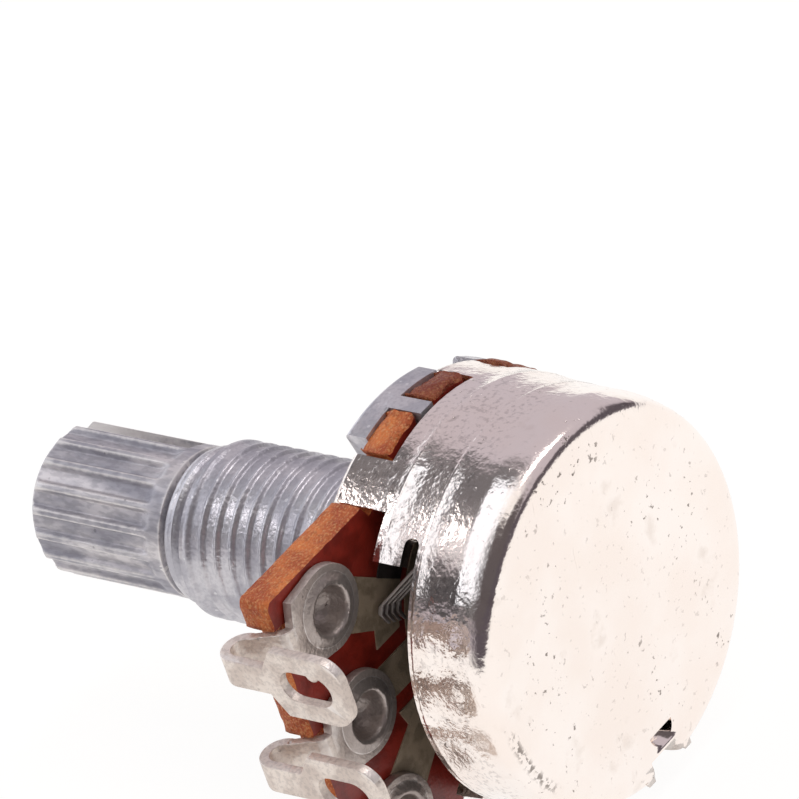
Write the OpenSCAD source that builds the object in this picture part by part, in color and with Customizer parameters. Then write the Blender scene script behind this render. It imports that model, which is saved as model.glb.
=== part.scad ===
// Rotary potentiometer of the 16 mm panel type, with a knurled split shaft and three solder lugs.
// Every piece is drawn upright, with the shaft pointing up and the panel face at height zero, and is
// then laid down as a whole: the shaft axis lies along Y with its tip to -Y, the solder lugs stand
// out to +X and their row runs along Z. Angles are counted from the middle solder lug.

/* [Shaft] */
// Diameter over the knurl
shaft_d = 6; // [5.4:0.1:6.2]
// Length from the panel face to the tip
shaft_len = 18; // [15:0.5:25]
// Length of the knurl from the tip
knurl_len = 6.3; // [4:0.1:6.5]
// Number of teeth in the knurl
knurl_teeth = 18; // [12:1:24]
// Depth of the grooves between the teeth
knurl_depth = 0.3; // [0.1:0.05:0.4]
// Width of a groove at the surface
groove_w = 0.72; // [0.3:0.02:0.74]
// Width of the slit across the tip
slit_w = 1; // [0.6:0.1:1.4]
// Length of the slit from the tip
slit_len = 6.2; // [3:0.1:6.4]
// Chamfer at the tip
tip_chamfer = 0.4; // [0.1:0.05:0.6]
// Height of the shoulder between the shaft and the journal that turns in the bushing
journal_step = 0.5; // [0.3:0.05:0.7]
// Height of the shoulder between the journal and the tang that carries the rotor
tang_step = 0.4; // [0.3:0.05:0.6]
// Depth of each of the two flats of the tang
flat_depth = 0.5; // [0.3:0.05:0.7]
// Thickness of the swaged head behind the rotor
head_t = 0.35; // [0.2:0.05:0.45]

/* [Bushing and plate] */
// Outer diameter of the thread
thread_d = 7; // [6.8:0.1:8]
// Length of the bushing from the panel face
bush_len = 11; // [7:0.5:11.2]
// Pitch of the thread
thread_pitch = 0.75; // [0.5:0.05:1]
// Depth of the thread
thread_cut = 0.25; // [0.15:0.01:0.3]
// How far the smooth lead-in at the mouth lies below the thread
lead_step = 0.3; // [0.2:0.05:0.45]
// Length of the smooth lead-in
lead_len = 1.2; // [0.6:0.1:2]
// Thickness of the mounting plate
plate_t = 1.05; // [0.9:0.05:1.4]
// How far the rim of the plate stands past the cover's wall
plate_proud = 0.2; // [0.1:0.05:0.25]
// Angle from the middle lug at which the rim of the plate begins
plate_side = 76; // [74:0.5:80]
// How far the rim of the plate is cut back beside the solder lugs
plate_cut = 1.8; // [1.4:0.1:3]
// Rounding of the rim of the casting
cast_round = 0.25; // [0.1:0.05:0.4]
// Diameter of the boss that centres the board
boss_d = 6.8; // [6.4:0.1:7]
// Width of each cast key that locks the board
key_w = 0.75; // [0.5:0.05:1.2]
// Width of the locating peg on the panel face
peg_w = 2.6; // [1.5:0.1:3]
// Thickness of the locating peg
peg_t = 1.1; // [0.8:0.1:1.4]
// Height of the locating peg above the panel face
peg_h = 1.6; // [0.8:0.1:2.5]
// Distance of the middle of the locating peg from the rim of the plate
peg_inset = 1.1; // [0.8:0.1:1.6]

/* [Retaining ring] */
// How far the retaining ring stands out around the journal
ring_rim = 0.8; // [0.5:0.05:0.9]
// Thickness of the retaining ring
ring_t = 0.5; // [0.4:0.05:0.6]
// Depth of the groove that holds it
ring_groove = 0.4; // [0.3:0.05:0.5]

/* [Board] */
// Thickness of the phenolic board
board_t = 1.35; // [1.2:0.05:1.6]
// How far the teeth of the board stand out past the plate
tooth_proud = 0.3; // [0.2:0.05:0.5]
// How far the terminal tab reaches past the outer rivets, sideways
tab_side = 2; // [1.9:0.1:2.3]
// How far the terminal tab reaches past the row of rivets
tab_past = 2.5; // [2.45:0.05:2.75]
// Rounding of the corners of the tab
tab_round = 0.35; // [0.1:0.05:0.6]

/* [Printed tracks] */
// Thickness of the printed ink
ink_t = 0.06; // [0.03:0.01:0.08]
// Part of the band between the boss and the cover's wall that stays bare beside the boss
inner_part = 0.12; // [0.08:0.01:0.16]
// Part of the band that the collector ring takes
collector_part = 0.19; // [0.14:0.01:0.22]
// Part of the band that the resistive track takes
track_part = 0.33; // [0.28:0.01:0.36]
// Part of the band that stays bare beside the cover's wall
outer_part = 0.27; // [0.24:0.01:0.3]
// Half of the gap between the two ends of the track
track_gap = 1.5; // [1.3:0.1:1.8]
// Angle at which the carbon gives way to the silvered end
carbon_end = 38; // [34:1:44]
// Width of the printed lead of the middle terminal
lead_w = 1.6; // [1:0.1:1.8]

/* [Terminals] */
// Distance between neighbouring terminals
pitch = 5; // [4.6:0.1:5.2]
// Thickness of the tinned sheet
sheet_t = 0.4; // [0.3:0.05:0.5]
// Distance of the row of rivets from the line of the cover's wall
rivet_gap = 0.25; // [0.1:0.05:0.4]
// Gap between neighbouring riveted pads
pad_gap = 1.5; // [1.3:0.1:1.8]
// Width of the folded neck
neck_w = 1.2; // [0.9:0.1:1.5]
// Width of the soldering end
lug_w = 3; // [2.4:0.1:3.3]
// How far the outer face of the lugs stands off the edge of the tab
lug_stand = 1.8; // [1.5:0.05:2.2]
// Depth of the tip of the lugs behind the panel face
lug_depth = 6.9; // [6.6:0.1:8]
// How far the neck leans outwards on its way to the fold
neck_lean = 0.4; // [0:0.05:0.45]
// Depth at which the fold turns back
fold_depth = 0.65; // [0.4:0.05:0.8]
// Depth at which the neck widens into the lug
widen_depth = 3.1; // [2.9:0.1:3.4]
// Length of the soldering hole
eye_len = 2.4; // [1.6:0.1:2.6]
// Width of the soldering hole
eye_w = 1.4; // [1:0.1:1.6]
// Rounding of the corners of the lug
lug_round = 0.95; // [0.5:0.05:1.1]
// Outer diameter of the eyelets
eyelet_d = 2; // [1.8:0.1:2.2]
// Wall thickness of the eyelets
eyelet_wall = 0.18; // [0.12:0.02:0.24]
// Diameter of the rolled flange of the eyelets
flange_d = 2.6; // [2.4:0.1:3]
// Thickness of the rolled flange
flange_t = 0.16; // [0.1:0.02:0.24]

/* [Cover] */
// Outer diameter of the cover
cover_d = 16; // [15.9:0.05:16.2]
// Thickness of the tinned sheet
cover_t = 0.4; // [0.3:0.05:0.45]
// Depth of the cover's back behind the panel face
cover_depth = 8.9; // [8.8:0.1:11]
// Rounding of the corner at the back
cover_round = 0.95; // [0.6:0.05:1.2]
// How far the open rim is flared
flare = 0.15; // [0.05:0.05:0.2]
// Length of the flared part of the rim
flare_len = 0.75; // [0.4:0.05:0.9]
// How far the rim stays clear of the back of the board between the straps
rim_gap = 0.35; // [0.2:0.05:0.4]
// Width of the straps that clamp the board
strap_w = 2; // [1.4:0.1:2.2]
// Angle of the straps from the middle solder lug
strap_at = 64; // [62:0.5:66]
// Length of a strap that is folded over the board
strap_fold = 0.85; // [0.5:0.05:1]
// How far the rim is cut back from the board over the terminals
window_len = 2.9; // [2.7:0.1:3.2]
// Angle from the middle lug to the side of the window
window_side = 43.5; // [42:0.5:45]
// How far the fingers beside the window are cut back from the board
finger_back = 1; // [0.8:0.1:1.2]
// Width of the slot that frees each finger
finger_slot = 0.65; // [0.5:0.05:0.8]
// Width of the stop that is pressed in at the back corner
stop_w = 2; // [1.6:0.1:2.4]
// How far the tear behind the stop reaches inwards
stop_tear = 0.9; // [0.75:0.05:1]
// Depth to which the stop is pressed in from the wall
stop_press = 1.3; // [0.9:0.05:1.4]
// Space between the rotor's disc and the pressed stop
stop_space = 0.85; // [0.6:0.05:1.2]

/* [Rotor and wiper] */
// Travel between the end stops
travel = 300; // [280:5:305]
// Position of the wiper when it is against the first stop
wiper_at = 27; // [24:1:30]
// Room between the rotor's disc and the cover's wall
rotor_room = 0.8; // [0.6:0.1:1]
// Thickness of the rotor's disc
rotor_t = 1; // [0.7:0.05:1.2]
// Space between the printed ink and the disc, in which the wiper bends
wiper_space = 2.29; // [2.2:0.01:2.4]
// Wall of the rotor's hub around the tang
hub_wall = 1.1; // [0.9:0.1:1.3]
// Room between the rotor's stop and the cover's wall
rotor_stop_room = 0.3; // [0.2:0.05:0.4]
// Thickness of the wiper's sheet
wiper_t = 0.2; // [0.15:0.05:0.25]
// Number of fingers on the resistive track
track_fingers = 4; // [3:1:5]
// Number of fingers on the collector ring
collector_fingers = 2; // [1:1:2]
// Distance between the row of track fingers and the edges of the track
finger_edge = 0.06; // [0.02:0.02:0.1]
// Part of the spacing of the fingers that each takes
finger_share = 0.62; // [0.5:0.02:0.7]
// Length of the fingers, as a part of the radius at which they meet the track
finger_reach = 0.4; // [0.35:0.01:0.42]

/* [Clearances] */
// Radial running clearance of the shaft in the bushing
run_gap = 0.03; // [0.02:0.01:0.08]
// Gap between pieces that slide together when the product is built
fit_gap = 0.05; // [0.03:0.01:0.08]
// Gap beside the keys and straps in their notches
notch_gap = 0.12; // [0.08:0.02:0.16]
// End play of the shaft
end_play = 0.15; // [0.1:0.05:0.2]
// Play between the rotor's stop and the pressed stop, in degrees
stop_play = 1; // [0.5:0.5:2]

/* [Hidden] */
$fn = 72;
over = 0.5;
side_step = 24;

cover_r = cover_d / 2;
cover_in_r = cover_r - cover_t;
plate_r = cover_r + plate_proud;
flare_r = cover_r + flare;
plate_cut_r = cover_r - plate_cut;
key_in_r = cover_r - plate_cut * 0.4;
strap_in_r = flare_r - cover_t;
strap_bend = 3 * fit_gap;
board_in_r = strap_in_r - fit_gap;
rim_taper = 0.6;

rivet_x = cover_r + rivet_gap;
tab_reach = rivet_x + tab_past;
tab_w = 2 * (pitch + tab_side);
lug_x = tab_reach + lug_stand;
far = 3 * tab_reach;

board_front = plate_t;
board_back = plate_t + board_t;
boss_back = board_back - 2 * fit_gap;
ring_front = boss_back + fit_gap;
ring_back = ring_front + ring_t;
ink_back = board_back + ink_t;
contact_front = ink_back + fit_gap;
window_depth = board_back + window_len;
finger_top = board_back + finger_back;
rotor_depth = ink_back + wiper_space;
rotor_back = rotor_depth + rotor_t;
wiper_back = rotor_depth;
wiper_front = rotor_depth - wiper_t;

journal_d = shaft_d - 2 * journal_step;
tang_d = journal_d - 2 * tang_step;
tang_flat = tang_d - 2 * flat_depth;
hub_d = tang_d + 2 * hub_wall;
lead_d = thread_d - 2 * lead_step;
shoulder = bush_len + end_play;
tang_front = ring_back + ring_t / 2 + fit_gap;
hub_front = tang_front + fit_gap;
hub_back = cover_depth - cover_t - head_t - 3 * fit_gap;

band = cover_in_r - boss_d / 2;
collector_in = boss_d / 2 + band * inner_part;
collector_w = band * collector_part;
collector_r = collector_in + collector_w / 2;
track_w = band * track_part;
track_r = cover_in_r - band * outer_part - track_w / 2;

finger_pitch = (track_w - 2 * finger_edge) / track_fingers;
finger_w = finger_pitch * finger_share;
finger_len = track_r * finger_reach;
base_len = finger_len * 0.78;
post_line = finger_len + base_len * 0.56;
post_d = (track_r - collector_r) * 0.48;
post_places = [[collector_r - post_d * 0.1, post_line],
               [track_r - post_d * 0.6, post_line - post_d * 0.1]];

pad_w = pitch - pad_gap;
pad_front = ink_back;
pad_back = pad_front + sheet_t;
bend_r = sheet_t / 2;
neck_out = tab_reach + fit_gap;
neck_in = neck_out - sheet_t;
notch_x = neck_in - 2 * notch_gap;
fold_r = (lug_x - neck_in - neck_lean) / 2;
fold_z = fold_depth + fold_r;
lug_in = lug_x - sheet_t;
terminal_rows = [pitch, 0, -pitch];

stop_len = cover_depth - cover_t - stop_space - rotor_back;
stop_in_r = cover_r - stop_press;
stop_bump_half = asin((stop_w / 2 + cover_t) / (stop_in_r - cover_t));
rotor_stop_r = cover_in_r - rotor_stop_room;
rotor_stop_deg = 360 - travel - 2 * stop_bump_half - 2 * stop_play;
rotor_stop_mid = stop_bump_half + stop_play + rotor_stop_deg / 2 - 90;
strap_angles = [strap_at, 180 - strap_at, 180 + strap_at, -strap_at];

// Lays the upright drawing down, with the shaft's tip to -Y
module lay_down() {
    rotate([90, 0, 0]) children();
}

// A flat outline made a sheet that lies between two depths behind the panel face
module between(front, back) {
    translate([0, 0, -back]) linear_extrude(back - front) children();
}

// A wedge of the plane between two angles, out to a reach
module wedge(from, to, reach = far) {
    steps = ceil((to - from) / side_step);
    rim = [for (i = [0 : steps]) let (a = from + (to - from) * i / steps)
        reach * [cos(a), sin(a)] / cos(side_step / 2)];
    polygon(concat([[0, 0]], rim));
}

// A radial bar of a given width, from one radius to another
module bar(angle, width, inner, outer) {
    rotate(angle) translate([inner, -width / 2]) square([outer - inner, width]);
}

// A rectangle with rounded corners, given by its corners
module rounded_box(x0, y0, x1, y1, r) {
    translate([x0 + r, y0]) square([x1 - x0 - 2 * r, y1 - y0]);
    translate([x0, y0 + r]) square([x1 - x0, y1 - y0 - 2 * r]);
    for (x = [x0 + r, x1 - r], y = [y0 + r, y1 - r]) translate([x, y]) circle(r);
}

// The turned body of the shaft, as a profile of radius against height
module shaft_profile() {
    r = shaft_d / 2;
    groove_r = journal_d / 2 - ring_groove;
    polygon([
        [0, shaft_len], [r - tip_chamfer, shaft_len], [r, shaft_len - tip_chamfer],
        [r, shoulder], [journal_d / 2, shoulder],
        [journal_d / 2, -ring_front + fit_gap / 2], [groove_r, -ring_front + fit_gap / 2],
        [groove_r, -ring_back - fit_gap / 2], [journal_d / 2, -ring_back - fit_gap / 2],
        [journal_d / 2, -tang_front], [0, -tang_front]
    ]);
}

// One groove of the knurl: a flat-bottomed V that runs out at its lower end
module knurl_groove() {
    r = shaft_d / 2;
    floor_w = groove_w * 0.35;
    translate([0, 0, shaft_len - knurl_len]) linear_extrude(knurl_len + over)
        polygon([
            [r - knurl_depth, -floor_w / 2], [r + over, -groove_w / 2 - over * 0.6],
            [r + over, groove_w / 2 + over * 0.6], [r - knurl_depth, floor_w / 2]
        ]);
}

// The tang has two flats and is swaged over behind the rotor
module tang() {
    between(tang_front, hub_back) intersection() {
        circle(d = tang_d);
        square([tang_d, tang_flat], center = true);
    }
    between(hub_back, hub_back + head_t) circle(d = tang_d + tang_step);
}

module shaft() {
    color("Silver") lay_down() rotate(wiper_at) {
        difference() {
            rotate_extrude() shaft_profile();
            for (i = [0 : knurl_teeth - 1]) rotate((i + 0.5) * 360 / knurl_teeth) knurl_groove();
            translate([0, 0, shaft_len - slit_len + slit_len / 2 + over / 2])
                cube([slit_w, shaft_d + 1, slit_len + over], center = true);
        }
        tang();
    }
}

// The ring snaps into the groove of the shaft from one side
module retaining_ring() {
    inner = journal_d / 2 - ring_groove + fit_gap / 2;
    mouth = 1.7 * inner;
    color("DimGray") lay_down() rotate(wiper_at) between(ring_front, ring_back) difference() {
        circle(journal_d / 2 + ring_rim);
        circle(inner);
        translate([0, -mouth / 2]) square([far, mouth]);
    }
}

// Outline of the plate: notched for the straps and cut back beside the terminals
module plate_outline() {
    difference() {
        circle(plate_r);
        for (a = strap_angles)
            bar(a, strap_w + 2 * notch_gap, strap_in_r - strap_fold - 2 * notch_gap, far);
        difference() {
            wedge(-plate_side, plate_side);
            circle(plate_cut_r);
        }
    }
}

// One groove of the thread in profile, centred on its depth: sloping flanks and a flat root
module thread_groove() {
    root = thread_pitch * 0.12;
    flank = tan(30) * (thread_cut + over);
    polygon([[-thread_cut, -root], [over, -root - flank], [over, root + flank], [-thread_cut, root]]);
}

// Turned profile of the casting: bushing, plate and boss. The thread is cut as closed rings
module casting_profile() {
    r = thread_d / 2;
    edge = 0.25;
    thread_end = bush_len - lead_len - edge;
    thread_rings = floor(thread_end / thread_pitch - 0.2);
    translate([0, -plate_t]) {
        square([plate_r - cast_round, plate_t]);
        square([plate_r, plate_t - cast_round]);
    }
    translate([plate_r - cast_round, -cast_round]) circle(cast_round);
    difference() {
        polygon([
            [0, -over / 2], [r, -over / 2], [r, thread_end], [lead_d / 2, bush_len - lead_len],
            [lead_d / 2, bush_len - edge], [lead_d / 2 - edge, bush_len], [0, bush_len]
        ]);
        for (i = [1 : thread_rings]) translate([r, thread_end - (i - 0.3) * thread_pitch]) thread_groove();
    }
    translate([0, -boss_back]) square([boss_d / 2, boss_back - over / 2]);
}

module bushing_plate() {
    bore_r = journal_d / 2 + run_gap;
    color("LightSteelBlue") lay_down() difference() {
        union() {
            intersection() {
                rotate_extrude() casting_profile();
                union() {
                    between(0, plate_t + over) plate_outline();
                    cylinder(h = 2 * far, d = max(thread_d, boss_d), center = true);
                }
            }
            for (side = [-90, 90]) between(plate_t - over / 2, board_back + rim_gap / 2)
                bar(side, key_w, key_in_r, plate_r);
            translate([peg_inset - cover_r - peg_t / 2, -peg_w / 2, -over])
                cube([peg_t, peg_w, peg_h + over]);
        }
        translate([0, 0, -far]) cylinder(h = 2 * far, r = bore_r);
    }
}

// Outline of the board: toothed disc, terminal tab and its notches
module board_outline() {
    difference() {
        union() {
            circle(cover_r + tooth_proud);
            rounded_box(0, -tab_w / 2, tab_reach, tab_w / 2, tab_round);
        }
        circle(d = boss_d + 2 * fit_gap);
        for (a = strap_angles) bar(a, strap_w + 2 * notch_gap, board_in_r, board_in_r + 2);
        for (side = [-90, 90]) bar(side, key_w + 2 * notch_gap, key_in_r - notch_gap, far);
        for (z = terminal_rows) {
            translate([notch_x, z - neck_w / 2 - notch_gap]) square([far, neck_w + 2 * notch_gap]);
            translate([rivet_x, z]) circle(d = eyelet_d + 2 * fit_gap);
        }
    }
}

module board() {
    color("Sienna") lay_down() between(board_front, board_back) board_outline();
}

// A flat ring between two radii
module annulus(middle, width) {
    difference() {
        circle(middle + width / 2);
        circle(middle - width / 2);
    }
}

module resistive_track() {
    color("DarkSlateGray") lay_down() between(board_back, ink_back) intersection() {
        annulus(track_r, track_w);
        wedge(carbon_end, 360 - carbon_end);
    }
}

// The silvered end of the track, with its lead to the outer rivet on one side
module end_electrode(side) {
    rivet = [rivet_x, pitch];
    lead_in = track_r * [cos(carbon_end), sin(carbon_end)];
    color("DarkKhaki") lay_down() mirror([0, side < 0 ? 1 : 0]) between(board_back, ink_back) {
        difference() {
            union() {
                intersection() {
                    annulus(track_r, track_w);
                    wedge(0, carbon_end);
                    translate([0, track_gap]) square(far);
                }
                difference() {
                    polygon([
                        lead_in, [track_r + track_w / 2 - 0.4, track_gap + 0.75],
                        rivet + [0, -pad_w / 2 + 0.4], rivet + [-0.3, pad_w / 2 - 0.4]
                    ]);
                    circle(track_r);
                }
                translate(rivet) circle(d = pad_w - 0.8);
            }
            translate(rivet) circle(d = eyelet_d + 2 * fit_gap);
        }
    }
}

// The collector ring and its lead to the middle rivet
module collector_track() {
    color("DarkKhaki") lay_down() between(board_back, ink_back) difference() {
        union() {
            annulus(collector_r, collector_w);
            translate([collector_r, -lead_w / 2]) square([rivet_x - collector_r, lead_w]);
            translate([rivet_x, 0]) circle(d = pad_w - 0.8);
        }
        translate([rivet_x, 0]) circle(d = eyelet_d + 2 * fit_gap);
    }
}

// Outline of the riveted pad, round towards the shaft and square outwards
module pad_outline() {
    end = neck_in - bend_r - rivet_x;
    corner = [end * 0.85, pad_w * 0.44];
    difference() {
        translate([rivet_x, 0]) {
            circle(d = pad_w);
            polygon([
                [0, -pad_w / 2], [corner[0], -corner[1]], [end, -neck_w / 2],
                [end, neck_w / 2], corner, [0, pad_w / 2]
            ]);
        }
        translate([rivet_x, 0]) circle(d = eyelet_d + 2 * fit_gap);
    }
}

// Side view of the folded neck, as a strip of sheet seen edge on: distance from the axis and height
module neck_side() {
    bend_x = neck_in - bend_r;
    translate([bend_x, -pad_front + bend_r]) intersection() {
        difference() {
            circle(bend_r + sheet_t);
            circle(bend_r);
        }
        translate([0, -far]) square(far);
    }
    translate([bend_x - 0.3, -pad_back]) square([0.3, sheet_t]);
    polygon([
        [neck_in, -pad_front + bend_r], [neck_out, -pad_front + bend_r],
        [neck_out + neck_lean, -fold_z], [neck_in + neck_lean, -fold_z]
    ]);
    translate([neck_in + neck_lean + fold_r, -fold_z]) intersection() {
        difference() {
            circle(fold_r);
            circle(fold_r - sheet_t);
        }
        translate([-far, 0]) square(2 * far);
    }
    translate([lug_in, -widen_depth - over]) square([sheet_t, widen_depth + over - fold_z]);
}

// Outline of the soldering end, seen from outside: row direction and height
module lug_outline() {
    flank = 0.6;
    eye_mid = (lug_depth + widen_depth) / 2;
    difference() {
        union() {
            polygon([
                [-neck_w / 2, -widen_depth], [neck_w / 2, -widen_depth],
                [lug_w / 2, -widen_depth - flank], [lug_w / 2, -widen_depth - flank - lug_round],
                [-lug_w / 2, -widen_depth - flank - lug_round], [-lug_w / 2, -widen_depth - flank]
            ]);
            translate([-lug_w / 2, -lug_depth + lug_round])
                square([lug_w, lug_depth - widen_depth - flank - lug_round]);
            translate([-lug_w / 2 + lug_round, -lug_depth]) square([lug_w - 2 * lug_round, lug_round]);
            for (x = [-1, 1]) translate([x * (lug_w / 2 - lug_round), -lug_depth + lug_round])
                circle(lug_round);
        }
        translate([0, -eye_mid]) {
            square([eye_w, eye_len - eye_w], center = true);
            for (s = [-1, 1]) translate([0, s * (eye_len - eye_w) / 2]) circle(d = eye_w);
        }
    }
}

module terminal(row) {
    color("Gainsboro") lay_down() translate([0, row, 0]) {
        between(pad_front, pad_back) pad_outline();
        translate([0, neck_w / 2, 0]) rotate([90, 0, 0]) linear_extrude(neck_w) neck_side();
        translate([lug_in, 0, 0]) rotate([90, 0, 90]) linear_extrude(sheet_t) lug_outline();
    }
}

module terminal_1() {
    terminal(terminal_rows[0]);
}

module terminal_2() {
    terminal(terminal_rows[1]);
}

module terminal_3() {
    terminal(terminal_rows[2]);
}

// A semi-tubular rivet: rolled flange over the pad, closed clinched head in front of the board
module eyelet(row) {
    r = eyelet_d / 2;
    head = 0.35;
    color("LightGray") lay_down() translate([rivet_x, row, 0]) rotate_extrude() {
        difference() {
            translate([0, -pad_back - flange_t]) square([r, pad_back + flange_t - board_front]);
            translate([0, -pad_back - flange_t - over])
                square([r - eyelet_wall, pad_back + flange_t + over - board_front - head]);
        }
        translate([r - eyelet_wall / 2, -pad_back - flange_t])
            square([flange_d / 2 - flange_t / 2 - r + eyelet_wall / 2, flange_t]);
        translate([flange_d / 2 - flange_t / 2, -pad_back - flange_t / 2]) circle(d = flange_t);
        translate([0, -board_front]) square([r + 0.3, flange_t]);
    }
}

module eyelet_1() {
    eyelet(terminal_rows[0]);
}

module eyelet_2() {
    eyelet(terminal_rows[1]);
}

module eyelet_3() {
    eyelet(terminal_rows[2]);
}

// The moulded carrier: disc, hub, stop and two posts that hold the wiper
module rotor() {
    color("DarkSlateGray") lay_down() rotate(wiper_at) difference() {
        union() {
            between(rotor_depth, rotor_back) circle(cover_in_r - rotor_room);
            between(hub_front, hub_back) circle(d = hub_d);
            rotate(rotor_stop_mid - wiper_at)
                between(rotor_back - over, hub_back - fit_gap) intersection() {
                    difference() {
                        circle(rotor_stop_r);
                        circle(tang_d / 2 + hub_wall / 2);
                    }
                    wedge(-rotor_stop_deg / 2, rotor_stop_deg / 2);
                }
            for (p = post_places) translate([p[0], p[1], 0])
                between(wiper_front - wiper_t, rotor_depth + over) circle(d = post_d);
        }
        translate([0, 0, -far]) linear_extrude(2 * far) intersection() {
            circle(d = tang_d + 2 * fit_gap);
            square([hub_d, tang_flat + 2 * fit_gap], center = true);
        }
    }
}

// Side view of one finger: it leaves the carrier, slopes to the track and curls up at its tip
module finger_side() {
    low = contact_front + wiper_t;
    heel = wiper_t * 0.75;
    tip = wiper_t * 1.75;
    rise = wiper_t * 1.5;
    root = finger_len + base_len / 4;
    polygon([
        [root, -wiper_back], [root, -wiper_front], [finger_len, -wiper_front],
        [heel, -contact_front], [-heel, -contact_front], [-tip, -contact_front - rise],
        [-tip - heel / 2, -contact_front - rise - wiper_t], [-heel, -low], [heel + wiper_t / 4, -low],
        [finger_len, -wiper_back]
    ]);
}

// A row of parallel fingers, centred on a radius
module finger_row(middle, count) {
    for (i = [0 : count - 1])
        translate([middle + (i - (count - 1) / 2) * finger_pitch + finger_w / 2, 0, 0])
            rotate([90, 0, -90]) linear_extrude(finger_w) mirror([1, 0]) finger_side();
}

// The stamped wiper: base, fingers for the track and fingers for the collector ring
module wiper() {
    inner = collector_in - post_d * 0.4;
    outer = track_r + finger_pitch * (track_fingers - 1) / 2 + finger_w / 2;
    front = finger_len + base_len / 9;
    end = finger_len + base_len;
    color("DarkGoldenrod") lay_down() rotate(wiper_at) {
        between(wiper_front, wiper_back) difference() {
            polygon([
                [inner, front], [outer, front], [outer - finger_w / 2, front + finger_pitch],
                [track_r - finger_pitch * 1.6, end], [inner + finger_w / 2, end]
            ]);
            for (p = post_places) translate(p) circle(d = post_d + 2 * fit_gap);
        }
        finger_row(track_r, track_fingers);
        finger_row(collector_r, collector_fingers);
    }
}

// Half profile of a cup with a rounded bottom corner: radius against depth
module cup_side(r, depth, fillet) {
    square([r, depth - fillet]);
    square([r - fillet, depth]);
    translate([r - fillet, depth - fillet]) circle(fillet);
}

// Half profile of the drawn shell, with the flared rim
module shell_side() {
    seam = board_back + flare_len;
    rim_front = board_back + rim_gap;
    difference() {
        union() {
            cup_side(cover_r, cover_depth, cover_round);
            polygon([[0, rim_front], [flare_r, rim_front], [flare_r, seam], [cover_r, seam + rim_taper],
                     [0, seam + rim_taper]]);
        }
        cup_side(cover_in_r, cover_depth - cover_t, cover_round - cover_t);
        polygon([[0, 0], [flare_r - cover_t, 0], [flare_r - cover_t, seam],
                 [cover_in_r, seam + rim_taper], [0, seam + rim_taper]]);
        square([far, rim_front]);
    }
}

// Half profile of a strap that is folded inwards over the front of the board
module strap_side() {
    front = board_front - cover_t;
    knee = [strap_in_r - strap_bend, board_front + strap_bend];
    translate([strap_in_r, knee[1]]) square([cover_t, board_back + flare_len - knee[1]]);
    translate([strap_in_r - strap_fold, front]) square([strap_fold - strap_bend, cover_t]);
    translate(knee) intersection() {
        difference() {
            circle(strap_bend + cover_t);
            circle(strap_bend);
        }
        translate([0, -far]) square(far);
    }
}

// Turns a half profile of radius against depth about the shaft axis
module turned() {
    rotate_extrude() mirror([0, 1]) children();
}

// What is punched out of the wall on one side of the terminals
module window_cut() {
    between(board_back - over, window_depth) wedge(-window_side, window_side);
    strap_edge = strap_at - asin(strap_w / 2 / cover_r);
    slot_end = window_side + (strap_edge - window_side) * 0.6;
    for (side = [0, 1]) mirror([0, side, 0]) {
        between(board_back - over, finger_top) wedge(window_side - 1, strap_edge);
        between(window_depth - finger_slot, window_depth) wedge(window_side - 1, slot_end);
    }
}

// The stop: the wall is pressed in at the back corner, and the sheet tears open behind it
module stop_press_cut() {
    rotate(-90) {
        translate([stop_in_r, -stop_w / 2, -cover_depth - over]) cube([far, stop_w, stop_len + over]);
        between(cover_depth - cover_t - over, cover_depth + over) intersection() {
            translate([stop_in_r - stop_tear, 0]) circle(stop_w * 0.35);
            translate([stop_in_r - stop_tear, -far]) square(2 * far);
        }
    }
}

module stop_press_wall() {
    wide = stop_w + 2 * cover_t;
    rotate(-90) translate([stop_in_r - cover_t, -wide / 2, -cover_depth + 0.1])
        cube([cover_r - stop_in_r, wide, stop_len + cover_t - 0.1]);
}

module cover() {
    color("WhiteSmoke") lay_down() {
        difference() {
            union() {
                difference() {
                    turned() shell_side();
                    window_cut();
                }
                stop_press_wall();
            }
            stop_press_cut();
        }
        intersection() {
            turned() strap_side();
            for (a = strap_angles) between(-over, board_back + 2 * over) bar(a, strap_w, 0, far);
        }
    }
}

shaft();
retaining_ring();
bushing_plate();
board();
resistive_track();
end_electrode(1);  // end_electrode_1
end_electrode(-1);  // end_electrode_3
collector_track();
terminal_1();
terminal_2();
terminal_3();
eyelet_1();
eyelet_2();
eyelet_3();
rotor();
wiper();
cover();
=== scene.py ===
import math

import bmesh
import bpy
from mathutils import Matrix, Vector, noise


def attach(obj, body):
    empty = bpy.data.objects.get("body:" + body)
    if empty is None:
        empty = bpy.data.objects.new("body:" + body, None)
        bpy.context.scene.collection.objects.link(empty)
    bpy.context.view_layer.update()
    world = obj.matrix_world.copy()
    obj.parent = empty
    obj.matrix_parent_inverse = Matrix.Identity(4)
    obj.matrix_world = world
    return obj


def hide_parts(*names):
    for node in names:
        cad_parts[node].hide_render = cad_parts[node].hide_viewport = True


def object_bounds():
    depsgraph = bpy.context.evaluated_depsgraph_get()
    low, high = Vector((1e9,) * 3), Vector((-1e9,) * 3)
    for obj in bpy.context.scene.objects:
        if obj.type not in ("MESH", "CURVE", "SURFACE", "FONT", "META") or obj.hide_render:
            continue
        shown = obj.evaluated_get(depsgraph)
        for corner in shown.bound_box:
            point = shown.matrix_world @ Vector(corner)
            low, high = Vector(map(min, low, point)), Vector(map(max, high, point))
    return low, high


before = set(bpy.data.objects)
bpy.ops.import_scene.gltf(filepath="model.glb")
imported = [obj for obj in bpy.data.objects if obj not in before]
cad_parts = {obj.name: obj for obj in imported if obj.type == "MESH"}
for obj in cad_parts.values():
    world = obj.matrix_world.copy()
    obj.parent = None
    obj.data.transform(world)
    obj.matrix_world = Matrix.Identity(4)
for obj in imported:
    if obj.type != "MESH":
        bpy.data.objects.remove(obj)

MM = 0.001
CAD_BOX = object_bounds()

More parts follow.
